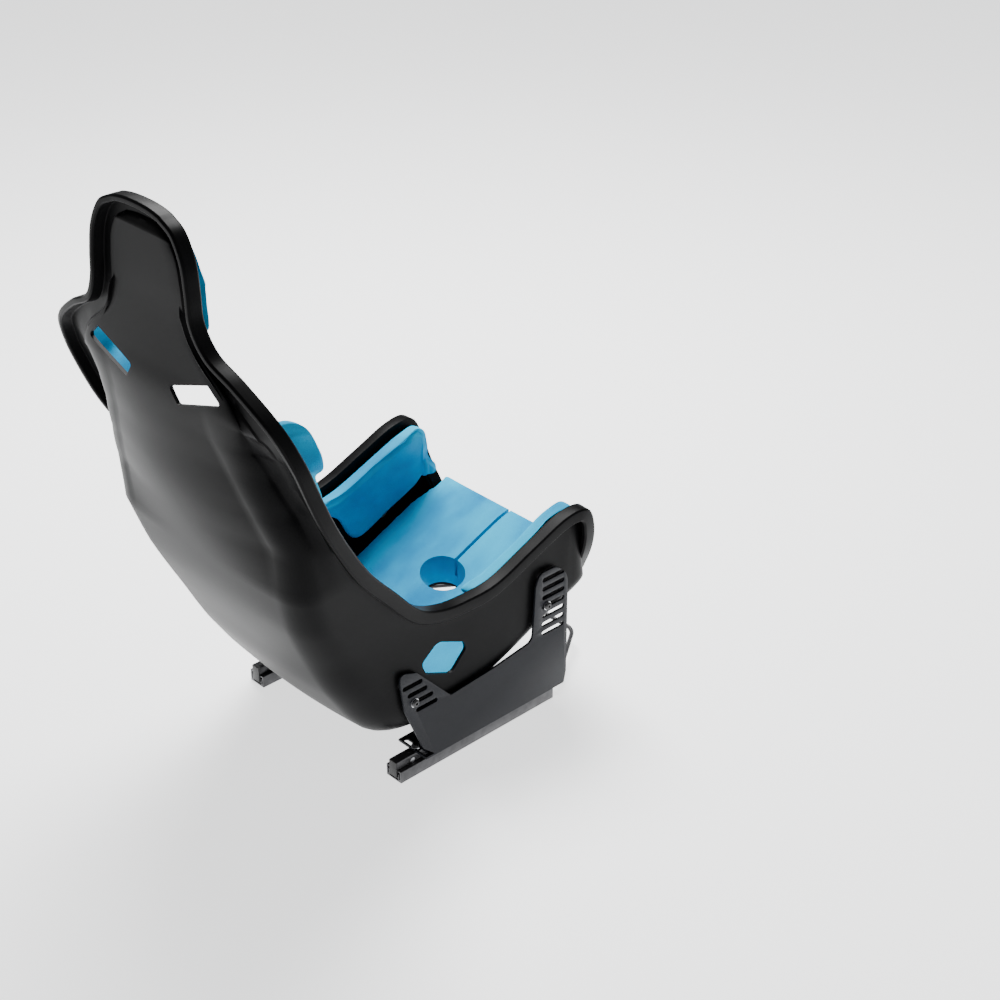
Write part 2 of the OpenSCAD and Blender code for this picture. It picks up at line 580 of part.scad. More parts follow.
module right_glides() {
  g = 0.1;
  outline = [[lower_in - g, rail_t + g], [lower_in - g, lower_h - rail_t - g],
    [foot - rail_t, lower_h - rail_t - g], [foot - rail_t, foot_z + curl_h + g],
    [foot + g, foot_z + curl_h + g], [foot + g, foot_z - g], [web, foot_z - g], [web, rail_t + g]];
  color("#d8d8d2") seat_frame() for (f = [rail_mid - glide_f - glide_l, rail_mid + glide_f]) for (e = [0, 1])
    translate([e * 2 * rail_x, 0, 0]) mirror([e, 0, 0]) along(f, f + glide_l) polygon(outline);
}
module left_glides() {
  left_side() right_glides();
}
cap_t = 2;
module rail_end_caps() {
  color("#151617") seat_frame() both_sides() along(rail_f - cap_t, rail_f)
    polygon(profile([[0, foot_z + 1], [web, foot_z + 1], [web, rail_top_z]]));
}
module flange_washers() {
  color("#8f9296") seat_frame() both_sides() for (f = flange_bolt_f)
    translate([rail_x, f, flange_z + bracket_t]) difference() {
      cylinder(r = washer_d / 2, h = washer_t, $fn = 48);
      translate([0, 0, -1]) cylinder(r = bolt_d / 2 + 0.3, h = washer_t + 2, $fn = 48);
    }
}
module flange_bolts() {
  color("#191a1c") seat_frame() both_sides() for (f = flange_bolt_f)
    translate([rail_x, f, flange_z + bracket_t + washer_t]) button_bolt(washer_t + bracket_t + rail_t + nut_t);
}
module rail_nuts() {
  color("#b9bcc0") seat_frame() both_sides() for (f = flange_bolt_f)
    translate([rail_x, f, rail_top_z - rail_t - nut_t]) difference() {
      translate([-nut_w / 2, -nut_w / 2, 0]) cube([nut_w, nut_w, nut_t]);
      translate([0, 0, -1]) cylinder(r = bolt_d / 2 + fit, h = nut_t + 2, $fn = 48);
    }
}

/* Lock levers and release bar */
pivot_f = rail_f + 33;
pivot_z = 27;
pin_r = 3;
lever_t = 5;
lever_top = 19;
lever_low = 11;
lever_end = rail_mid + 45;
lock_tip = 0.8;
tooth_f = [for (k = [lock_teeth - 1 : -1 : 0]) rail_mid + (k - 2) * lock_pitch];
lever_outline = concat(
  [[pivot_f - 6, pivot_z + 6, 5.9], [pivot_f + 2, pivot_z + 6, 5], [pivot_f + 31, lever_top, 8],
    [lever_end, lever_top, 1], [lever_end, lever_low, 1]],
  [for (f = tooth_f) each [[f + tooth / 2, lever_low, 0], [f + tooth / 2, lock_tip, 0],
    [f - tooth / 2, lock_tip, 0], [f - tooth / 2, lever_low, 0]]],
  [[pivot_f + 30, lever_low, 8], [pivot_f - 6, pivot_z - 6, 5.9]]);
module right_lock_lever() {
  color("#6d7075") seat_frame() difference() {
    across(rail_x - lever_t / 2, lever_t) polygon(rounded(lever_outline));
    cross_rod(rail_x - 10, pivot_f, pivot_z, pin_r + fit, 20);
  }
}
module left_lock_lever() {
  left_side() right_lock_lever();
}
pin_head_t = 1.2;
clip_t = 0.8;
module lever_pins() {
  color("#b9bcc0") seat_frame() both_sides() {
    cross_rod(rail_x - web - 2, pivot_f, pivot_z, pin_r, 2 * web + 2);
    cross_rod(rail_x + web, pivot_f, pivot_z, pin_r + 1.6, pin_head_t);
  }
}
module pin_clips() {
  color("#8f9296") seat_frame() both_sides()
    ring_x(rail_x - web - clip_t - 0.1, pivot_f, pivot_z, 2 * pin_r + 3, 2 * pin_r + 2 * fit, clip_t);
}
spring_f = pivot_f + 70;
spring_r = 4;
spring_wire = 1.2;
spring_turns = 5;
// A round bar swept along points, with m sides
module sweep(path, r, m) {
  n = len(path) - 1;
  function way(i) = unit(path[min(i + 1, n)] - path[max(i - 1, 0)]);
  function ring(i) = let(w = way(i), a = unit(cross(w, [0, 0.01, 1])), b = cross(a, w))
    [for (j = [0 : m - 1]) path[i] + r * (cos(360 * j / m) * a + sin(360 * j / m) * b)];
  polyhedron(points = [for (i = [0 : n]) each ring(i)], faces = concat(
    [[for (j = [m - 1 : -1 : 0]) j]], [[for (j = [0 : m - 1]) n * m + j]],
    [for (i = [0 : n - 1]) for (j = [0 : m - 1]) let(a = i * m + j, b = i * m + (j + 1) % m) each
      [[a, b, a + m], [b, b + m, a + m]]]), convexity = 10);
}
module lock_springs() {
  r = spring_r - spring_wire / 2;
  low = lever_top + seat + spring_wire / 2;
  high = rail_top_z - rail_t - seat - spring_wire / 2;
  count = 8 * spring_turns;
  color("#b9bcc0") seat_frame() both_sides() translate([rail_x, spring_f, 0])
    sweep([for (i = [0 : count]) let(a = 45 * i) [r * cos(a), r * sin(a), mix(low, high, i / count)]],
      spring_wire / 2, 6);
}
bar_low = 15;
bar_high = 32;
bar_bend = 18;
// The bar's corners on the right side, each with its bend
bar_corners = [[rail_x, rail_f + rail_l + 8, bar_low], [rail_x, rail_f + rail_l + 36, bar_high],
  [grip_w / 2, bar_reach, bar_high]];
function bend_at(p, i) = let(c = p[i], a = unit(p[i - 1] - c), b = unit(p[i + 1] - c))
  [for (j = [0 : 5]) let(t = j / 5) c + bar_bend * ((1 - t) * (1 - t) * a + t * t * b)];
bar_right = concat([[rail_x, lever_end, bar_low]], bar_corners, [[0, bar_reach, bar_high]]);
bar_half = concat([bar_right[0]], [for (i = [1 : 3]) each bend_at(bar_right, i)]);
bar_path = concat(bar_half, [for (i = [len(bar_half) - 1 : -1 : 0]) mirror_x(bar_half[i], -1)]);
module release_bar() {
  color("#1d1e20") seat_frame() sweep(bar_path, bar_d / 2, 12);
}

seat_shell();
headrest_cushion();
back_cushion();
left_back_bolster();
right_back_bolster();
base_cushion();
left_thigh_cushion();
right_thigh_cushion();
hook_patches();
shell_inserts();
shell_spacers();
left_side_bracket();
right_side_bracket();
bracket_washers();
bracket_bolts();
flange_washers();
flange_bolts();
rail_nuts();
left_upper_rail();
right_upper_rail();
left_lower_rail();
right_lower_rail();
left_glides();
right_glides();
rail_end_caps();
left_lock_lever();
right_lock_lever();
lever_pins();
pin_clips();
lock_springs();
release_bar();
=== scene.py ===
import bpy, bmesh, json
import numpy as np
from mathutils import Matrix, Vector


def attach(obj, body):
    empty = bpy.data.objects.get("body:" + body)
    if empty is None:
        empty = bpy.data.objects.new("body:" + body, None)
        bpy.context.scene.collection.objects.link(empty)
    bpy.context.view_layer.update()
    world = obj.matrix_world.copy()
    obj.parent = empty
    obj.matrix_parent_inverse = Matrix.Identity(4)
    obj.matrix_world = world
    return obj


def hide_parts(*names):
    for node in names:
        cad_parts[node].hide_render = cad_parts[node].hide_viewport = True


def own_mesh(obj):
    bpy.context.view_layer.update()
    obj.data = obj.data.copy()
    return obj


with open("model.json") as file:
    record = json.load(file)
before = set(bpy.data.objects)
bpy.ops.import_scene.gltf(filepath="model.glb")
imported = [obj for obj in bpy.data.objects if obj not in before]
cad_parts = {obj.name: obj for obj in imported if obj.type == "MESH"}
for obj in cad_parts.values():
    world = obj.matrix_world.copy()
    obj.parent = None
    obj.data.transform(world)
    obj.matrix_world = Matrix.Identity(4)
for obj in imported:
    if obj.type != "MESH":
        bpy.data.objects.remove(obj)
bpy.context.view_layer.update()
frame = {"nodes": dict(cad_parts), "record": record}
record = frame["record"]
bodyOf = {node: body for body, nodes in record["behaviour"]["bodies"].items() for node in nodes}
slotOf = {p["node"]: p["material_slot"] for p in record["subparts"]}
seatBody = "seat"

# camera, light and floor
cameraPlace = {
    "location": (-2.1227, 1.7019, 1.9732),
    "right": (-0.68697, -0.72669, 0.0),
    "up": (0.36324, -0.34338, 0.86611),
    "ahead": (0.62939, -0.59499, -0.49985),
    "lens": 69.0,
    "clipEnd": 50,
}


def makeCamera(place):
    data = bpy.data.cameras.new("seatCamera")
    data.lens = place["lens"]
    data.clip_end = place["clipEnd"]
    camera = bpy.data.objects.new("seatCamera", data)
    bpy.context.collection.objects.link(camera)
    columns = (Vector(place["right"]), Vector(place["up"]), -Vector(place["ahead"]))
    turned = Matrix(columns).transposed().to_4x4()
    camera.matrix_world = Matrix.Translation(Vector(place["location"])) @ turned
    bpy.context.scene.camera = camera


studio = {
    "worldColour": (0.97, 0.98, 1.0),
    "worldStrength": 0.16,
    "floorColour": (0.92, 0.925, 0.93),
    "floorRough": 0.8,
    "floorGlow": 1.7,
    "floorSize": 14.0,
    # name, place, target, width, height, watts
    "lamps": [
        ("keyAbove", (1.1, -0.9, 2.8), (0.0, -0.1, 0.3), 1.6, 1.6, 200),
        ("backLeft", (2.6, 2.0, 0.8), (0.1, 0.3, 0.5), 1.4, 1.8, 5),
        ("rimRight", (-2.6, -0.6, 1.6), (-0.2, 0.0, 0.5), 1.2, 2.0, 6),
    ],
}


def makeStudio(s):
    world = bpy.data.worlds.new("studio")
    world.use_nodes = True
    background = world.node_tree.nodes["Background"]
    background.inputs["Color"].default_value = (*s["worldColour"], 1)
    background.inputs["Strength"].default_value = s["worldStrength"]
    bpy.context.scene.world = world
    for name, place, target, width, height, watts in s["lamps"]:
        data = bpy.data.lights.new(name, "AREA")
        data.shape = "RECTANGLE"
        data.size, data.size_y, data.energy = width, height, watts
        lamp = bpy.data.objects.new(name, data)
        bpy.context.collection.objects.link(lamp)
        lamp.location = place
        lamp.rotation_euler = (Vector(target) - Vector(place)).to_track_quat("-Z", "Y").to_euler()
    mesh = bpy.data.meshes.new("floor")
    h = s["floorSize"] / 2
    mesh.from_pydata([(-h, -h, 0), (h, -h, 0), (h, h, 0), (-h, h, 0)], [], [(0, 1, 2, 3)])
    floor = bpy.data.objects.new("floor", mesh)
    bpy.context.collection.objects.link(floor)
    paint = bpy.data.materials.new("floorPaint")
    paint.use_nodes = True
    shader = paint.node_tree.nodes["Principled BSDF"]
    shader.inputs["Base Color"].default_value = (*s["floorColour"], 1)
    shader.inputs["Roughness"].default_value = s["floorRough"]
    shader.inputs["Emission Color"].default_value = (*s["floorColour"], 1)
    shader.inputs["Emission Strength"].default_value = s["floorGlow"]
    mesh.materials.append(paint)


makeCamera(cameraPlace)
makeStudio(studio)
print("camera and studio ready")

# shader groups and materials


def newGroup(name, inputs, outputs):
    group = bpy.data.node_groups.new(name, "ShaderNodeTree")
    for label, kind, value in inputs:
        socket = group.interface.new_socket(label, in_out="INPUT", socket_type=kind)
        socket.default_value = value
    for label, kind in outputs:
        group.interface.new_socket(label, in_out="OUTPUT", socket_type=kind)
    return group, group.nodes.new("NodeGroupInput"), group.nodes.new("NodeGroupOutput")


edgeTurn = (0.52, 0.62)  # how sharp a turn starts to wear, and wears fully


def mottleGroup():
    # slow and fine noise mixed into one mask, for finishes that are never quite even
    group, start, end = newGroup("mottle", [
        ("Scale", "NodeSocketFloat", 12.0), ("Fine Scale", "NodeSocketFloat", 160.0),
        ("Fine Share", "NodeSocketFloat", 0.3)], [("Mask", "NodeSocketFloat")])
    n, link = group.nodes, group.links.new
    place = n.new("ShaderNodeTexCoord")
    slow, fine = n.new("ShaderNodeTexNoise"), n.new("ShaderNodeTexNoise")
    slow.inputs["Detail"].default_value = 4
    fine.inputs["Detail"].default_value = 3
    mixed = n.new("ShaderNodeMix")
    link(place.outputs["Object"], slow.inputs["Vector"])
    link(place.outputs["Object"], fine.inputs["Vector"])
    link(start.outputs["Scale"], slow.inputs["Scale"])
    link(start.outputs["Fine Scale"], fine.inputs["Scale"])
    link(start.outputs["Fine Share"], mixed.inputs[0])
    link(slow.outputs["Fac"], mixed.inputs[2])
    link(fine.outputs["Fac"], mixed.inputs[3])
    link(mixed.outputs[0], end.inputs["Mask"])
    return group


def edgeWearGroup():
    # lighter where the surface turns sharply
    group, start, end = newGroup("edgeWear", [
        ("Width", "NodeSocketFloat", 0.5), ("Break Up", "NodeSocketFloat", 60.0)],
        [("Mask", "NodeSocketFloat")])
    n, link = group.nodes, group.links.new
    geometry = n.new("ShaderNodeNewGeometry")
    ramp = n.new("ShaderNodeMapRange")
    for label, turn in zip(("From Min", "From Max"), edgeTurn):
        ramp.inputs[label].default_value = turn
    place, noise = n.new("ShaderNodeTexCoord"), n.new("ShaderNodeTexNoise")
    broken, sized = n.new("ShaderNodeMath"), n.new("ShaderNodeMath")
    broken.operation = sized.operation = "MULTIPLY"
    link(geometry.outputs["Pointiness"], ramp.inputs["Value"])
    link(place.outputs["Object"], noise.inputs["Vector"])
    link(start.outputs["Break Up"], noise.inputs["Scale"])
    link(ramp.outputs["Result"], broken.inputs[0])
    link(noise.outputs["Fac"], broken.inputs[1])
    link(broken.outputs[0], sized.inputs[0])
    link(start.outputs["Width"], sized.inputs[1])
    link(sized.outputs[0], end.inputs["Mask"])
    return group


mottle, edgeWear = mottleGroup(), edgeWearGroup()


def newMaterial(name):
    material = bpy.data.materials.new(name)
    material.use_nodes = True
    return material, material.node_tree.nodes, material.node_tree.links.new


def placeGroup(nodes, group, **values):
    node = nodes.new("ShaderNodeGroup")
    node.node_tree = group
    for label, value in values.items():
        node.inputs[label.replace("_", " ")].default_value = value
    return node


def colourRamp(nodes, stops):
    ramp = nodes.new("ShaderNodeValToRGB")
    while len(ramp.color_ramp.elements) < len(stops):
        ramp.color_ramp.elements.new(0.5)
    for element, (place, colour) in zip(ramp.color_ramp.elements, stops):
        element.position = place
        element.color = (*colour, 1)
    return ramp


finishShare = {
    "coatRough": 0.12, "fineShare": 0.35, "ramp": (0.3, 0.7), "wearBreak": 70.0, "bumpDepth": 0.0004,
}


def hardFinish(name, dark, light, rough, roughSpan, bump=0.0, bumpScale=220, metal=0.0, coat=0.0,
               specular=0.5, wear=0.25, wearColour=(0.25, 0.25, 0.26), scale=9.0):
    material, nodes, link = newMaterial(name)
    shader = nodes["Principled BSDF"]
    shader.inputs["Metallic"].default_value = metal
    shader.inputs["Coat Weight"].default_value = coat
    shader.inputs["Coat Roughness"].default_value = finishShare["coatRough"]
    shader.inputs["Specular IOR Level"].default_value = specular
    mask = placeGroup(nodes, mottle, Scale=scale, Fine_Scale=bumpScale, Fine_Share=finishShare["fineShare"])
    ramp = colourRamp(nodes, list(zip(finishShare["ramp"], (dark, light))))
    link(mask.outputs["Mask"], ramp.inputs["Fac"])
    worn = placeGroup(nodes, edgeWear, Width=wear, Break_Up=finishShare["wearBreak"])
    mixed = nodes.new("ShaderNodeMix")
    mixed.data_type = "RGBA"
    link(worn.outputs["Mask"], mixed.inputs["Factor"])
    link(ramp.outputs["Color"], mixed.inputs["A"])
    mixed.inputs["B"].default_value = (*wearColour, 1)
    link(mixed.outputs["Result"], shader.inputs["Base Color"])
    span = nodes.new("ShaderNodeMapRange")
    span.inputs["To Min"].default_value = rough - roughSpan / 2
    span.inputs["To Max"].default_value = rough + roughSpan / 2
    link(mask.outputs["Mask"], span.inputs["Value"])
    link(span.outputs["Result"], shader.inputs["Roughness"])
    if bump:
        place, noise = nodes.new("ShaderNodeTexCoord"), nodes.new("ShaderNodeTexNoise")
        bumped = nodes.new("ShaderNodeBump")
        noise.inputs["Scale"].default_value = bumpScale * 3
        noise.inputs["Detail"].default_value = 3
        bumped.inputs["Strength"].default_value = bump
        bumped.inputs["Distance"].default_value = finishShare["bumpDepth"]
        link(place.outputs["Object"], noise.inputs["Vector"])
        link(noise.outputs["Fac"], bumped.inputs["Height"])
        link(bumped.outputs["Normal"], shader.inputs["Normal"])
    return material


suedeLook = {
    "deep": (0.0, 0.17, 0.40), "mid": (0.0, 0.35, 0.62), "pale": (0.0, 0.58, 0.86),
    "patchScale": 11.0, "pileScale": 900.0, "pileShare": 0.3, "stretch": (1.0, 0.45, 0.7),
    "ramp": (0.32, 0.5, 0.72),
    "rough": 0.92, "specular": 0.25, "bump": 0.35, "bumpDepth": 0.0006,
    "sheen": 0.03, "sheenRough": 0.45, "sheenTint": (0.4, 0.85, 1.0),
}


def suedeMaterial(look):
    # short pile that lies this way and that, so slow patches of a lighter and a deeper blue
    material, nodes, link = newMaterial("blueSuede")
    shader = nodes["Principled BSDF"]
    shader.inputs["Roughness"].default_value = look["rough"]
    shader.inputs["Specular IOR Level"].default_value = look["specular"]
    shader.inputs["Sheen Weight"].default_value = look["sheen"]
    shader.inputs["Sheen Roughness"].default_value = look["sheenRough"]
    shader.inputs["Sheen Tint"].default_value = (*look["sheenTint"], 1)
    place = nodes.new("ShaderNodeTexCoord")
    stretch = nodes.new("ShaderNodeMapping")
    stretch.inputs["Scale"].default_value = look["stretch"]
    slow = nodes.new("ShaderNodeTexNoise")
    slow.inputs["Scale"].default_value = look["patchScale"]
    slow.inputs["Detail"].default_value = 3
    pile = nodes.new("ShaderNodeTexNoise")
    pile.inputs["Scale"].default_value = look["pileScale"]
    pile.inputs["Detail"].default_value = 2
    mixed = nodes.new("ShaderNodeMix")
    mixed.inputs[0].default_value = look["pileShare"]
    link(place.outputs["Object"], stretch.inputs["Vector"])
    link(stretch.outputs["Vector"], slow.inputs["Vector"])
    link(place.outputs["Object"], pile.inputs["Vector"])
    link(slow.outputs["Fac"], mixed.inputs[2])
    link(pile.outputs["Fac"], mixed.inputs[3])
    ramp = colourRamp(nodes, list(zip(look["ramp"], (look["deep"], look["mid"], look["pale"]))))
    link(mixed.outputs[0], ramp.inputs["Fac"])
    link(ramp.outputs["Color"], shader.inputs["Base Color"])
    bump = nodes.new("ShaderNodeBump")
    bump.inputs["Strength"].default_value = look["bump"]
    bump.inputs["Distance"].default_value = look["bumpDepth"]
    link(mixed.outputs[0], bump.inputs["Height"])
    link(bump.outputs["Normal"], shader.inputs["Normal"])
    return material


def makeMaterials():
    return {
        "shellPanel": hardFinish("shellSatin", (0.0024, 0.0024, 0.0026), (0.004, 0.004, 0.0044), 0.38, 0.06,
                                 bump=0.04, bumpScale=240, specular=0.05, wear=0.03),
        "shellRim": hardFinish("shellRimGloss", (0.004, 0.004, 0.0045), (0.007, 0.007, 0.0075), 0.22, 0.05,
                               bump=0.02, coat=0.1, specular=0.28, wear=0.08, wearColour=(0.1, 0.1, 0.1)),
        # the lip's rounded edge: a grey far lighter than the rim, painted on as a highlight line
        "lipPaintedHighlight": hardFinish("shellLipPaintedHighlight", (0.10, 0.10, 0.105), (0.17, 0.17, 0.175), 0.3, 0.1, coat=0.4,
                              bump=0.02, wear=0.3),
        "cushion": suedeMaterial(suedeLook),
        "hook": hardFinish("hookPile", (0.01, 0.01, 0.01), (0.03, 0.03, 0.03), 0.95, 0.05, bump=0.8,
                           bumpScale=300),
        "zinc": hardFinish("zincPlate", (0.50, 0.51, 0.53), (0.66, 0.67, 0.69), 0.34, 0.12, metal=1.0,
                           bump=0.05, wear=0.2),
        "black_steel": hardFinish("blackOxide", (0.018, 0.018, 0.019), (0.035, 0.035, 0.036), 0.36, 0.1,
                                  metal=0.6, bump=0.1, wear=0.5),
        "bracket": hardFinish("bracketPowder", (0.006, 0.007, 0.010), (0.009, 0.010, 0.014), 0.5, 0.08,
                              bump=0.25, bumpScale=420, specular=0.2, wear=0.3,
                              wearColour=(0.06, 0.065, 0.075)),
        "rail": hardFinish("railSteel", (0.025, 0.025, 0.027), (0.05, 0.05, 0.053), 0.4, 0.14, metal=0.5,
                           bump=0.08, wear=0.6),
        "nylon": hardFinish("naturalNylon", (0.62, 0.60, 0.54), (0.74, 0.72, 0.66), 0.5, 0.1, bump=0.05,
                            wear=0.0),
        "black_plastic": hardFinish("blackNylon", (0.014, 0.014, 0.014), (0.024, 0.024, 0.024), 0.55, 0.1,
                                    bump=0.15, wear=0.2),
        "lever": hardFinish("leverSteel", (0.26, 0.27, 0.29), (0.38, 0.39, 0.41), 0.38, 0.14, metal=1.0,
                            bump=0.08, wear=0.2),
        "spring": hardFinish("springSteel", (0.45, 0.45, 0.47), (0.6, 0.6, 0.62), 0.28, 0.1, metal=1.0,
                             wear=0.0),
        "bar": hardFinish("barPowder", (0.014, 0.014, 0.016), (0.024, 0.024, 0.027), 0.42, 0.08, bump=0.2,
                          bumpScale=420, wear=0.3),
    }


materials = makeMaterials()
print("materials ready:", len(materials))

# the shell's surface, millimetres
shellShape = {
    "backY": 387.0, "wall": 6.0, "headTop": 1027.0,
    "stations": [
        # spine forward, spine height, rim sideways, rim forward, rim height, way the rim faces in degrees
        [14, 989.56, 58, 32, 1020.34, 0], [14, 979.16, 91, 30, 1003.70, 0], [14, 956.28, 113, 28, 966.68, 0],
        [14, 918.84, 121, 26, 923.00, 0], [14, 877.24, 126, 25, 881.40, 0], [12, 831.48, 150, 28, 842.92, 0],
        [9, 790.30, 200, 32, 816.95, 0], [5, 751.35, 262, 43, 769.80, 0], [8, 704.20, 286, 62, 712.40, 0],
        [14, 655, 288, 83, 655, 2], [23, 589.40, 285, 108, 597.60, 6], [38, 525.85, 275, 142, 538.15, 14],
        [60, 450.00, 262.35, 188, 470.50, 28], [86, 370, 249.24, 243, 409, 44], [127, 280, 238, 300, 347, 60],
        [176, 185, 233, 352, 322, 76], [250, 91, 231, 405, 315, 88], [362, 74, 231, 470, 319, 90],
        [480, 103, 231, 552, 350, 92], [590, 150, 232, 626, 378, 90], [655, 178, 234, 674, 376, 55],
        [688, 193, 229, 696, 333, 18], [704, 200, 215, 706, 281, 4], [712, 204, 187, 716, 225, 0]],
    "headPower": 2.4, "headTurn": 3,
    "frontLow": 20.0, "frontBow": 12.0, "frontPower": 8,
    "rimDepth": 25.0, "lipWidth": 11.0, "rimTop": 24.0,
    # where the bend starts and ends on the half section, the widest it may be, and how far the ends ease in
    "bendFrom": 0.5, "bendTo": 0.85, "bendMost": 0.8, "endBlend": 0.5,
    # each a row of stations and the value there
    "ledgeWidths": ([0, 1, 2, 5, 6, 7, 8, 9, 10, 11, 15, 18, 20, 23],
                    [30, 34, 36, 38, 48, 62, 64, 56, 38, 21, 20, 20, 23, 16]),
    "ledgeDepths": ([0, 5, 9, 10, 11, 12, 19, 21, 23], [12, 10, 9, 14, 24, 28, 28, 20, 14]),
    "bendWidths": ([0, 5, 7, 10, 11, 14, 17, 23], [20, 40, 70, 60, 60, 66, 64, 46]),
    "bendShares": ([0, 10, 11, 12, 13, 14, 17, 20, 23], [0.5, 0.55, 0.45, 0.42, 0.36, 0.4, 0.27, 0.24, 0.3]),
    "crowns": ([0, 5, 7, 10, 11, 12, 13, 23], [0, 0.05, 0.15, 0.3, 0.3, 0.06, 0.03, 0.01]),
    "flares": ([6, 7, 8, 10, 12], [0, 26, 36, 28, 0]),
}
stations = np.array(shellShape["stations"], float)
lastStation = len(stations) - 1
wall = shellShape["wall"]
rimStep, surfaceStep = 0.04, 0.03  # how far apart the places are that a direction is taken from


def toFrame(points):
    p = np.asarray(points, float)
    return np.stack([-p[..., 0], shellShape["backY"] - p[..., 1], p[..., 2]], -1) / 1000


def unit(v):
    return v / np.maximum(np.linalg.norm(v, axis=-1, keepdims=True), 1e-9)


def look(v, table):
    return np.interp(v, table[0], table[1])


def shellLook(v, key):
    return look(v, shellShape[key])


def stationAt(v):
    padded = np.vstack([2 * stations[0] - stations[1], stations, 2 * stations[-1] - stations[-2]])
    i = np.clip(np.floor(v).astype(int), 0, lastStation - 1)
    t = (v - i)[..., None]
    a, b, c, d = padded[i], padded[i + 1], padded[i + 2], padded[i + 3]
    square, cube = 2 * a - 5 * b + 4 * c - d, 3 * b - a - 3 * c + d
    return 0.5 * (2 * b + (c - a) * t + square * t * t + cube * t ** 3)


def rimSide(v):
    return stationAt(v)[..., 2:5]


def facing(v):
    angle = np.radians(stationAt(v)[..., 5])
    return np.stack([np.zeros_like(angle), np.cos(angle), np.sin(angle)], -1)


def alongRim(v):
    return rimSide(np.minimum(v + rimStep, lastStation)) - rimSide(np.maximum(v - rimStep, 0))


def outSide(v):
    return unit(np.cross(alongRim(v), facing(v)))


def mirrorX(p, sign):
    return np.stack([p[..., 0] * sign, p[..., 1], p[..., 2]], -1)


def blendTo(a, b, t):
    return a + (b - a) * t


def rimHead(s):
    q = rimSide(np.zeros_like(s))
    arch = (shellShape["headTop"] - q[..., 2]) * (1 - np.abs(s) ** shellShape["headPower"])
    return np.stack([q[..., 0] * s, q[..., 1], q[..., 2] + arch], -1)


def outHead(s):
    side, k = outSide(np.zeros_like(s)), np.abs(s) ** shellShape["headTurn"]
    return unit(np.stack([side[..., 0] * k * np.sign(s), 0 * k, blendTo(1, side[..., 2], k)], -1))


def rimFront(s):
    q = rimSide(np.full_like(s, lastStation))
    low = shellShape["frontLow"] * (1 - np.abs(s) ** shellShape["frontPower"])
    return np.stack([q[..., 0] * s, q[..., 1] + shellShape["frontBow"] * (1 - s * s), q[..., 2] - low], -1)


def outFront(s):
    side, k = outSide(np.full_like(s, lastStation)), np.abs(s) ** shellShape["frontPower"]
    return unit(np.stack([side[..., 0] * k * np.sign(s), side[..., 1] * k, blendTo(-1, side[..., 2], k)], -1))


def edgeSide(v):
    width, deep = shellLook(v, "ledgeWidths")[..., None], shellLook(v, "ledgeDepths")[..., None]
    return rimSide(v) - width * outSide(v) - deep * facing(v)


def sectionAt(u, v):
    # from the spine's plane to the wall: panel with its crown, bend, side wall that flares at the wings
    q, e = stationAt(v), edgeSide(v)
    spine = np.stack([np.zeros_like(v), q[..., 0], q[..., 1]], -1)
    reach = np.stack([np.zeros_like(v), e[..., 1] - spine[..., 1], e[..., 2] - spine[..., 2]], -1)
    deep, wide = np.linalg.norm(reach, axis=-1), e[..., 0]
    flare = shellLook(v, "flares")
    wallX = wide - flare
    bendX = np.minimum(shellLook(v, "bendWidths"), wallX * shellShape["bendMost"])
    bendY, rise = shellLook(v, "bendShares") * deep, shellLook(v, "crowns") * deep
    bendFrom, bendTo = shellShape["bendFrom"], shellShape["bendTo"]
    a = np.abs(u)
    turn = np.radians(90 * np.clip((a - bendFrom) / (bendTo - bendFrom), 0, 1))
    across = np.where(a <= bendFrom, (wallX - bendX) * a / bendFrom, wallX - bendX + bendX * np.sin(turn))
    up = rise * np.minimum(a / bendFrom, 1) ** 2 + bendY * (1 - np.cos(turn))
    wallShare = np.clip((a - bendTo) / (1 - bendTo), 0, 1)
    across = across + flare * wallShare ** 2
    up = up + (deep - rise - bendY) * wallShare
    point = spine + unit(reach) * up[..., None]
    point[..., 0] = across * np.sign(u)
    return point


def endEdge(rim, out, v, u):
    # edge of the panel under the arch of the rim at the head or the front
    return (rim(u) - shellLook(v, "ledgeWidths") * out(u)
            - shellLook(v, "ledgeDepths") * facing(np.full_like(u, v)))


def outer(u, v):
    # near the head and the front edge the panel eases into the arch of the rim
    blend = shellShape["endBlend"]
    body = sectionAt(u, np.clip(v, blend, lastStation - blend))
    head = endEdge(rimHead, outHead, 0, u)
    front = endEdge(rimFront, outFront, lastStation, u)
    near = np.clip(1 - v / blend, 0, 1)[..., None]
    far = np.clip((v - lastStation + blend) / blend, 0, 1)[..., None]
    return blendTo(blendTo(body, head, near), front, far)


def outerNormal(u, v):
    step, long = surfaceStep, surfaceStep * 4
    a = outer(np.minimum(u + step, 1), v) - outer(np.maximum(u - step, -1), v)
    b = outer(u, np.minimum(v + long, lastStation)) - outer(u, np.maximum(v - long, 0))
    return unit(np.cross(a, b))


def gridMesh(name, points, faces, faceSlots=None):
    mesh = bpy.data.meshes.new(name)
    mesh.from_pydata([tuple(p) for p in points], [], [tuple(f) for f in faces])
    if faceSlots is not None:
        mesh.polygons.foreach_set("material_index", np.asarray(faceSlots, np.int32))
    mesh.update()
    return mesh


def addObject(name, mesh):
    piece = bpy.data.objects.new(name, mesh)
    bpy.context.collection.objects.link(piece)
    return piece


def shadeSmooth(mesh, angle):
    # smooth faces, with the edges that turn further kept crisp
    work = bmesh.new()
    work.from_mesh(mesh)
    for f in work.faces:
        f.smooth = True
    for e in work.edges:
        e.smooth = len(e.link_faces) == 2 and e.calc_face_angle(0) < np.radians(angle)
    work.to_mesh(mesh)
    work.free()


def walk(n, m):
    # the cells met on a walk round a grid of n by m
    return ([(0, k) for k in range(m)] + [(k, m) for k in range(n)]
            + [(n, m - k) for k in range(m)] + [(n - k, 0) for k in range(n)])


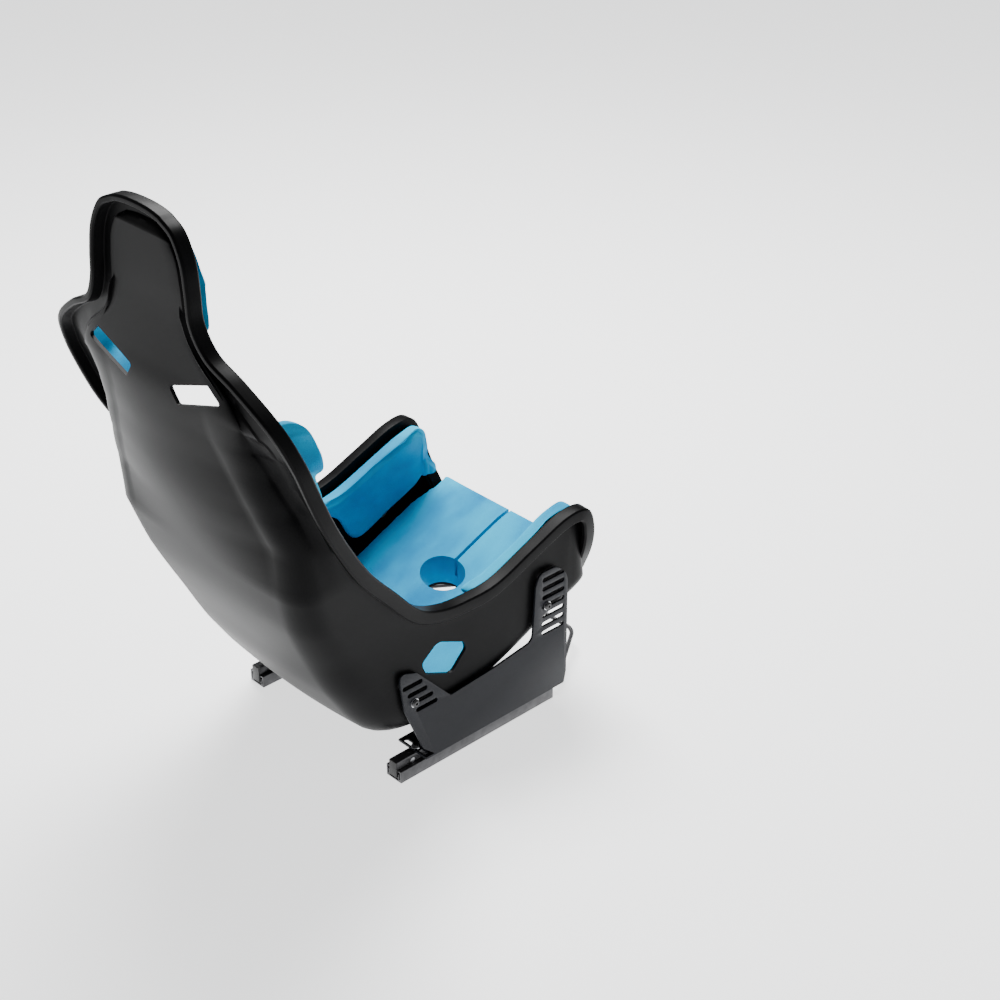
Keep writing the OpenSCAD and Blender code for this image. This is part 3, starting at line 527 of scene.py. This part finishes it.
def closedSkin(back, rings, front):
    # two grids of points joined by rings round their edges; the faces point inwards
    n, m = back.shape[0] - 1, back.shape[1] - 1
    size, cells = (n + 1) * (m + 1), walk(n, m)
    count, ringsN = len(cells), len(rings)
    frontAt = size + ringsN * count
    points = np.vstack([back.reshape(-1, 3), *rings, front.reshape(-1, 3)])

    def at(r, k):
        i, j = cells[k % count]
        if r < 0:
            return i * (m + 1) + j
        return frontAt + i * (m + 1) + j if r == ringsN else size + r * count + k % count
    faces, kinds = [], []
    for i in range(n):
        for j in range(m):
            a, b = i * (m + 1) + j, (i + 1) * (m + 1) + j
            faces += [(a, a + 1, b + 1, b), (frontAt + a, frontAt + b, frontAt + b + 1, frontAt + a + 1)]
            kinds += [0, 2]
    for r in range(-1, ringsN):
        for k in range(count):
            faces.append((at(r, k), at(r + 1, k), at(r + 1, k + 1), at(r, k + 1)))
            kinds.append(1)
    return points, faces, kinds


def arcCorner(p0, p1, p2, radius, steps=3, most=0.45):
    # round the corner p1 of an open outline, with at most this share of the sides next to it
    a, b = unit(p0 - p1), unit(p2 - p1)
    half = np.arccos(np.clip(np.dot(a, b), -1, 1)) / 2
    reach = min(radius / np.tan(half), most * np.linalg.norm(p0 - p1), most * np.linalg.norm(p2 - p1))
    start, stop = p1 + a * reach, p1 + b * reach
    return [(1 - t) ** 2 * start + 2 * t * (1 - t) * p1 + t * t * stop for t in np.linspace(0, 1, steps + 1)]


shellDetail = {
    "rowsPerStation": 6, "colsPerSide": 34, "edgeRadius": 1.6, "crispAngle": 32,
    "paintedHighlightRings": range(11, 15),  # the rings round the lip's rounded edge that carry a lighter grey as a painted highlight line
}


def rimTopWidth(width):
    return np.minimum(width + wall - 4, shellShape["rimTop"])


def rimProfile(width, depthAtPanel, radius):
    # from the panel's edge round the rolled lip to the front face: steps in from the rim and back from it
    lip, deep = shellShape["lipWidth"], shellShape["rimDepth"]
    corners = [(width, depthAtPanel), (max(width - 3, lip + 5), wall + 1), (lip + 2, wall), (lip, deep - 2),
               (lip - 2, deep), (3, deep), (0, deep - 3), (0, 4), (1.8, 1), (rimTopWidth(width), 0),
               (width, depthAtPanel - wall)]
    corners = [np.array(c, float) for c in corners]
    out = []
    for i in range(1, len(corners) - 1):
        out += arcCorner(corners[i - 1], corners[i], corners[i + 1], radius)
    return np.array(out)


def rimPlace(row, lastRow, u, v):
    # point on the rim, its way out and its way of facing
    if row in (0, lastRow) and abs(u[0]) < 1:
        rim, out = (rimHead, outHead) if row == 0 else (rimFront, outFront)
        return rim(u), out(u), facing(v)
    return mirrorX(rimSide(v), np.sign(u)), mirrorX(outSide(v), np.sign(u)), facing(v)


def makeShell(detail):
    rows, side = lastStation * detail["rowsPerStation"], detail["colsPerSide"]
    v, u = np.meshgrid(np.arange(rows + 1) / detail["rowsPerStation"],
                       (np.arange(2 * side + 1) - side) / side, indexing="ij")
    back = outer(u, v)
    alongU = np.gradient(back, axis=1)
    alongV = np.gradient(back, axis=0)
    front = back + wall * unit(np.cross(alongU, alongV))
    cells = walk(rows, 2 * side)
    places = [rimPlace(i, rows, u[i, j:j + 1], v[i, j:j + 1]) for i, j in cells]
    edge, out, face = (np.array(x)[:, 0] for x in zip(*places))
    width, deep = (shellLook(np.array([v[c] for c in cells]), key) for key in ("ledgeWidths", "ledgeDepths"))
    profiles = np.array([rimProfile(w, d, detail["edgeRadius"]) for w, d in zip(width, deep)])
    rings = [edge - profiles[:, r, :1] * out - profiles[:, r, 1:] * face for r in range(profiles.shape[1])]
    points, faces, kinds = closedSkin(back, rings, front)
    slots = [1 if k == 1 else 0 for k in kinds]
    first = kinds.index(1)
    # these rings take the third slot: the lighter grey painted on as the lip's highlight line
    for ring in detail["paintedHighlightRings"]:
        for k in range(len(cells)):
            slots[first + ring * len(cells) + k] = 2
    mesh = gridMesh("seatShell", toFrame(points), faces, slots)
    mesh.flip_normals()  # the skin's faces point inwards
    return addObject("seatShell", mesh)


openingShapes = {
    "harness": [(64, 740), (164, 772), (136, 795), (46, 765)],
    "harnessRadius": 4.5,
    "belt": [(355, 248), (412, 222), (417, 206), (384, 172), (330, 197), (320, 221)],
    "beltRadii": [18, 9, 9, 14, 10, 10],
    "strapForward": 554, "strapLong": 68, "strapWide": 100,
    "insertPlaces": [(296, 163), (592, 215.5)], "insertRadius": 10.0, "bossRadius": 20.0,
    # how far each pad and each cut runs, from and to
    "bossRun": (204.0, 212.0), "insertRun": (194.0, 232.0), "harnessRun": (-20, 100), "beltRun": (180, 240),
    "strapRun": (60, 300),
}


def roundedOutline(corners, radii, steps=6):
    points, n = [], len(corners)
    for i in range(n):
        p0, p1, p2 = (np.array(corners[k % n], float) for k in (i - 1, i, i + 1))
        a, b = unit(p0 - p1), unit(p2 - p1)
        half = np.arccos(np.dot(a, b)) / 2
        centre = p1 + unit(a + b) * radii[i] / np.sin(half)
        start, stop = p1 + a * radii[i] / np.tan(half), p1 + b * radii[i] / np.tan(half)
        a0, a1 = (np.arctan2(*(q - centre)[::-1]) for q in (start, stop))
        sweep = (a1 - a0 + np.pi) % (2 * np.pi) - np.pi
        points += [tuple(centre + radii[i] * np.array([np.cos(a0 + sweep * t), np.sin(a0 + sweep * t)]))
                   for t in np.linspace(0, 1, steps + 1)]
    return points


def prism(name, outline, place, low, high):
    # an outline swept from low to high along the axis that place leaves free
    n = len(outline)
    points = [place(p, low) for p in outline] + [place(p, high) for p in outline]
    faces = [tuple(range(n))[::-1], tuple(range(n, 2 * n))]
    faces += [(i, (i + 1) % n, n + (i + 1) % n, n + i) for i in range(n)]
    mesh = gridMesh(name, toFrame(points), faces)
    work = bmesh.new()
    work.from_mesh(mesh)
    bmesh.ops.recalc_face_normals(work, faces=work.faces)
    work.to_mesh(mesh)
    work.free()
    return addObject(name, mesh)


def circle(x, y, rx, ry, count=48):
    turns = np.linspace(0, 2 * np.pi, count, endpoint=False)
    return [(x + rx * np.cos(a), y + ry * np.sin(a)) for a in turns]


def applied(piece):
    # the piece's mesh with its modifiers in it
    bpy.context.view_layer.update()
    depsgraph = bpy.context.evaluated_depsgraph_get()
    mesh = bpy.data.meshes.new_from_object(piece.evaluated_get(depsgraph), depsgraph=depsgraph)
    piece.modifiers.clear()
    piece.data = mesh


def combine(piece, tools, operation):
    for tool in tools:
        cut = piece.modifiers.new("cut", "BOOLEAN")
        cut.operation, cut.solver, cut.object = operation, "MANIFOLD", tool
    applied(piece)
    for tool in tools:
        bpy.data.objects.remove(tool)


def cutShell(shell, s):
    bosses, cuts = [], []
    for sign in (-1, 1):
        def across(p, h, q=sign):
            return q * h, p[0], p[1]

        def back(p, h, q=sign):
            return q * p[0], h, p[1]

        for f, z in s["insertPlaces"]:
            boss = circle(f, z, s["bossRadius"], s["bossRadius"])
            pocket = circle(f, z, s["insertRadius"], s["insertRadius"])
            bosses.append(prism("boss", boss, across, *s["bossRun"]))
            cuts.append(prism("pocket", pocket, across, *s["insertRun"]))
        slot = roundedOutline(s["harness"], [s["harnessRadius"]] * len(s["harness"]))
        cuts.append(prism("slot", slot, back, *s["harnessRun"]))
        cuts.append(prism("belt", roundedOutline(s["belt"], s["beltRadii"]), across, *s["beltRun"]))
    strap = circle(0, s["strapForward"], s["strapWide"] / 2, s["strapLong"] / 2)
    cuts.append(prism("strap", strap, lambda p, h: (p[0], p[1], h), *s["strapRun"]))
    combine(shell, bosses, "UNION")
    combine(shell, cuts, "DIFFERENCE")


shell = makeShell(shellDetail)
cutShell(shell, openingShapes)
shadeSmooth(shell.data, shellDetail["crispAngle"])
shell.data.materials.clear()
# the third slot is the painted highlight line on the lip's edge
for finish in ("shellPanel", "shellRim", "lipPaintedHighlight"):
    shell.data.materials.append(materials[finish])
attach(shell, seatBody)
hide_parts("seat_shell")
print("shell ready:", len(shell.data.polygons), "faces")

# cushions
padShare = {
    "detail": 44, "gap": 2.4, "cornerGap": 10.0, "corner": 0.34, "drawIn": 0.035,
    # share of the outline and share of the thickness on the way round a cushion's edge
    "edge": [(0.95, 0.0), (0.975, 0.06), (0.99, 0.22), (0.997, 0.4), (1.0, 0.6), (0.995, 0.74), (0.985, 0.86),
             (0.964, 0.95), (0.93, 1.0)],
    "flatEdge": [(0.95, 0.0), (0.98, 0.03), (0.995, 0.15), (1.0, 0.5), (1.0, 0.85), (0.995, 0.95),
                 (0.985, 0.99), (0.965, 1.0)],
    # how far round the corner from wall to rim the wider gap reaches, inwards by station and outwards
    "cornerReach": ([12, 14], [0.18, 0.1]), "outerReach": 0.35,
    "bandSpan": 0.3, "bandTurn": (0.94, 0.12), "rollSpan": 0.35, "swell": 0.1, "leanFrom": 0.25,
    "smoothing": 10, "smoothFactor": 0.5, "crispAngle": 70,
    # cloth: pressure, frames, quality and how far a point may move on a round and a flat cushion
    "pressure": 4.0, "frames": 20, "clothQuality": 5, "travel": {"round": 0.004, "flat": 0.002},
}
baseShape = {"topHeight": 181.0, "slope": 23.5, "least": 22.0, "atForward": 554.0, "cornerLift": 9.0}


def rimTopAt(v):
    return rimSide(v) - rimTopWidth(shellLook(v, "ledgeWidths"))[..., None] * outSide(v)


def inside(u, v):
    return outer(u, v) + wall * outerNormal(u, v)


def wallEdge(v):
    return inside(np.ones_like(v), v)


def sideOf(u):
    return np.where(u < 0, -1, 1)


def innerAt(u, v):
    # the shell's inner face, and past u = 1 the band up to the top of the rim
    a = np.abs(u)
    share = np.clip((a - 1) / padShare["bandSpan"], 0, None)[..., None]
    band = blendTo(wallEdge(v), rimTopAt(v), share)
    return mirrorX(np.where((a <= 1)[..., None], inside(np.minimum(a, 1), v), band), sideOf(u))


def gapAt(u, v, gap, cornerGap):
    # gap between cushion and shell, wider round the corner from the wall to the rim
    a = np.abs(u)
    turnFrom, turnSpan = padShare["bandTurn"]
    band = unit(np.cross(rimTopAt(v) - wallEdge(v), alongRim(v)))
    turned = np.clip((a - turnFrom) / turnSpan, 0, 1)[..., None]
    way = unit(blendTo(outerNormal(np.minimum(a, 1), v), band, turned))
    reach = np.where(a < 1, look(v, padShare["cornerReach"]), padShare["outerReach"])
    size = gap + cornerGap * np.maximum(0, 1 - np.abs(a - 1) / reach)
    return mirrorX(size[..., None] * way, sideOf(u))


def standOff(u, v, roll):
    # way in which a cushion stands off the shell, which turns to the rim's way from roll on
    a = np.abs(u)
    w = np.clip((a - look(v, roll)) / padShare["rollSpan"], 0, 1)[..., None]
    return unit(blendTo(outerNormal(np.minimum(a, 1) * np.sign(u), v), facing(v), w))


def padPoint(pad, s, t, k, up):
    c = padShare
    a = s * k * np.sqrt(1 - c["corner"] * t * t / 2) * (1 - c["drawIn"] * (1 - t * t))
    b = t * k * np.sqrt(1 - c["corner"] * s * s / 2) * (1 - c["drawIn"] * (1 - s * s))
    v = blendTo(pad["from"], pad["to"], (b + 1) / 2)
    u = blendTo(look(v, pad["low"]), look(v, pad["high"]), (a + 1) / 2)
    swell = 1 + c["swell"] * (1 - s * s) * (1 - t * t)
    up = np.broadcast_to(up, s.shape).astype(float)
    flat, front = pad.get("flat", False), np.maximum(0, t) ** 3
    spread = pad.get("spread", (0, 0, 0))
    sideways = spread[0] * s ** 3 * (front ** 2 if flat else 1)
    lean = np.stack([sideways, spread[1] * front, -spread[2] * t ** 3], -1)
    leaning = np.maximum(0, up - c["leanFrom"])[..., None]
    p = innerAt(u, v) + gapAt(u, v, c["gap"], c["cornerGap"]) + lean * leaning
    deep = look(v, pad["thick"])
    if flat:
        p[..., 2] += baseShape["cornerLift"] * front * s ** 4
        tilt = np.radians(baseShape["slope"])
        rise = np.array([0, -np.sin(tilt), np.cos(tilt)])
        forward = p[..., 1] - baseShape["atForward"]
        plane = (baseShape["topHeight"] + np.tan(tilt) * forward - p[..., 2]) * np.cos(tilt)
        depth = (plane + np.sqrt(plane ** 2 + 4 * baseShape["least"] ** 2)) / 2
        return p + rise * ((depth + deep * (swell - 1)) * up)[..., None]
    high = deep * up * np.where(up < 1, 1, swell)
    return p + standOff(u, v, pad.get("roll", ([0], [2]))) * high[..., None]


# by station: where each cushion's sides lie across the shell, its ends, thickness, turn and lean
pads = {
    "headrest_cushion": {
        "low": ([0], [-0.9]), "high": ([0], [0.9]), "from": 0.3, "to": 4.5,
        "thick": ([0.3, 1.4, 3, 4, 4.5], [18, 26, 31, 27, 16]), "roll": ([0], [0.45]), "spread": (16, 0, 16)},
    "back_cushion": {
        "low": ([0], [-0.5]), "high": ([0], [0.5]), "from": 8.3, "to": 14.8, "thick": ([0], [32]),
        "voxel": 0.006},
    "right_back_bolster": {
        "low": ([6.6, 7.7, 8.6, 9.6, 12, 12.8], [1.13, 1.12, 0.86, 0.56, 0.56, 0.66]),
        "high": ([6.6, 8.7, 9.4, 12.8], [1.22, 1.2, 0.97, 0.95]), "from": 6.6, "to": 12.8,
        "thick": ([6.6, 7.3, 8.2, 9.4, 12.8], [36, 49, 42, 32, 26]), "roll": ([8.6, 10.2], [0.75, 1.2])},
    "right_thigh_cushion": {
        "low": ([16.3, 17.3, 18, 20, 21, 22], [1.0, 0.95, 0.866, 0.872, 0.9, 0.96]), "high": ([0], [1.2]),
        "from": 16.3, "to": 22.5, "thick": ([0], [22]), "spread": (0, 46, 0)},
    "base_cushion": {
        "low": ([20, 22], [-0.66, -0.57]), "high": ([20, 22], [0.66, 0.57]), "from": 16.15, "to": 21.9,
        "thick": ([0], [4]), "flat": True, "spread": (20, 66, 0), "voxel": 0.005},
}


def padStart(name, pad):
    count = padShare["detail"]
    t, s = np.meshgrid(np.linspace(-1, 1, count + 1), np.linspace(-1, 1, count + 1), indexing="ij")
    edge = padShare["flatEdge" if pad.get("flat") else "edge"]
    first, last = edge[0], edge[-1]
    back, front = padPoint(pad, s, t, *first), padPoint(pad, s, t, *last)
    cells = walk(count, count)
    sr, tr = (np.array([grid[c] for c in cells]) for grid in (s, t))
    rings = [padPoint(pad, sr, tr, k, up) for k, up in edge[1:-1]]
    points, faces, _ = closedSkin(back, rings, front)
    return addObject(name, gridMesh(name, toFrame(points), faces))


splitGroove = {
    "wide": 7.0, "deep": 24.0, "high": 60, "reach": 240.0, "lift": 6, "holeIn": 2, "holeRun": (40, 320),
    "crispAngle": 50,
}


def cutBase(piece):
    # the strap hole, and the split from it to the front
    s, g = openingShapes, splitGroove
    rim = circle(0, s["strapForward"], s["strapWide"] / 2 - g["holeIn"], s["strapLong"] / 2 - g["holeIn"])
    hole = prism("hole", rim, lambda p, h: (p[0], p[1], h), *g["holeRun"])
    tilt = np.radians(baseShape["slope"])
    half, low, high = g["wide"] / 2, -g["deep"], g["high"]
    outline = [(-half, low), (half, low), (half, high), (-half, high)]

    def place(p, along):
        f = s["strapForward"] + along * np.cos(tilt) - p[1] * np.sin(tilt)
        z = baseShape["topHeight"] + g["lift"] + along * np.sin(tilt) + p[1] * np.cos(tilt)
        return p[0], f, z

    groove = prism("groove", outline, place, 0.0, g["reach"])
    combine(piece, [hole, groove], "DIFFERENCE")
    shadeSmooth(piece.data, g["crispAngle"])


def puffUp(piece, cap, voxel, c):
    # cloth under pressure, with each point's travel capped; a voxel size gives an even mesh first and
    # turns the faces outwards, and without one they stay turned inwards
    if voxel:
        remesh = piece.modifiers.new("remesh", "REMESH")
        remesh.mode, remesh.voxel_size = "VOXEL", voxel
        applied(piece)
    smooth = piece.modifiers.new("smooth", "SMOOTH")
    smooth.factor, smooth.iterations = c["smoothFactor"], c["smoothing"]
    applied(piece)
    start = np.array([v.co for v in piece.data.vertices])
    cloth = piece.modifiers.new("cloth", "CLOTH")
    cloth.settings.use_pressure = True
    cloth.settings.uniform_pressure_force = c["pressure"]
    cloth.settings.effector_weights.gravity = 0
    cloth.settings.quality = c["clothQuality"]
    cloth.point_cache.frame_start, cloth.point_cache.frame_end = 1, c["frames"]
    for f in range(1, c["frames"] + 1):
        bpy.context.scene.frame_set(f)
    depsgraph = bpy.context.evaluated_depsgraph_get()
    moved = np.array([v.co for v in piece.evaluated_get(depsgraph).data.vertices])
    travel = moved - start
    size = np.linalg.norm(travel, axis=1, keepdims=True)
    moved = start + travel * np.minimum(1, cap / np.maximum(size, 1e-9))
    piece.modifiers.clear()
    piece.data.vertices.foreach_set("co", moved.ravel())
    bpy.context.scene.frame_set(1)
    divide = piece.modifiers.new("divide", "SUBSURF")
    divide.levels = divide.render_levels = 1
    applied(piece)
    shadeSmooth(piece.data, c["crispAngle"])


def mirroredCopy(piece, name):
    mesh = piece.data.copy()
    mesh.transform(Matrix.Scale(-1, 4, (1, 0, 0)))
    mesh.flip_normals()
    return addObject(name, mesh)


def finishCushion(piece, node):
    piece.data.materials.clear()
    piece.data.materials.append(materials["cushion"])
    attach(piece, seatBody)
    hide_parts(node)


for node, pad in pads.items():
    cushion = padStart(node + "_cover", pad)
    cap = padShare["travel"]["flat" if pad.get("flat") else "round"]
    puffUp(cushion, cap, pad.get("voxel"), padShare)
    if pad.get("flat"):
        cutBase(cushion)
    if node.startswith("right_"):
        twin = mirroredCopy(cushion, node.replace("right_", "left_") + "_cover")
        finishCushion(twin, node.replace("right_", "left_"))
    finishCushion(cushion, node)
    print("cushion ready:", node, len(cushion.data.polygons), "faces")

# metal parts: rounded copies of the plain solids
roundings = {
    "left_side_bracket": (0.0006, "bracket"), "right_side_bracket": (0.0006, "bracket"),
    "left_upper_rail": (0.0005, "rail"), "right_upper_rail": (0.0005, "rail"),
    "left_lower_rail": (0.0004, "rail"), "right_lower_rail": (0.0004, "rail"),
    "rail_end_caps": (0.0005, "black_plastic"),
}
bevelDetail = {"segments": 2, "angle": 0.7, "merge": 1e-6, "flat": 0.02, "crispAngle": 40}


def roundedCopy(node, radius, detail):
    # a plain solid's mesh is loose triangles, so the copy is merged first
    mesh = frame["nodes"][node].data.copy()
    piece = addObject(node + "_rounded", mesh)
    work = bmesh.new()
    work.from_mesh(mesh)
    bmesh.ops.remove_doubles(work, verts=work.verts, dist=detail["merge"])
    bmesh.ops.dissolve_limit(work, angle_limit=detail["flat"], verts=work.verts, edges=work.edges)
    work.to_mesh(mesh)
    work.free()
    bevel = piece.modifiers.new("bevel", "BEVEL")
    bevel.width, bevel.segments = radius, detail["segments"]
    bevel.limit_method, bevel.angle_limit = "ANGLE", detail["angle"]
    applied(piece)
    shadeSmooth(piece.data, detail["crispAngle"])
    return piece


replaced = set()
for node, (radius, slotName) in roundings.items():
    piece = roundedCopy(node, radius, bevelDetail)
    piece.data.materials.clear()
    piece.data.materials.append(materials[slotName])
    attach(piece, bodyOf[node])
    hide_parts(node)
    replaced.add(node)
print("rounded copies ready:", len(roundings))

# lock springs: a copy of the plain solid with its finish
springSqueeze = {
    "node": "lock_springs", "joint": "bar_lift", "axis": (0, 0, 1), "keep": 0.8, "crispAngle": 70,
}


def makeSprings(s):
    springs = addObject("lockSprings", frame["nodes"][s["node"]].data.copy())
    shadeSmooth(springs.data, s["crispAngle"])
    springs.data.materials.clear()
    springs.data.materials.append(materials[slotOf[s["node"]]])
    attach(springs, bodyOf[s["node"]])
    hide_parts(s["node"])
    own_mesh(springs)
    replaced.add(s["node"])


makeSprings(springSqueeze)
print("springs ready")

# finish on the solids that stay
for node, piece in frame["nodes"].items():
    if node in replaced or slotOf[node] in ("shell", "cushion"):
        continue
    piece.data.materials.clear()
    piece.data.materials.append(materials[slotOf[node]])
print("finishes set")
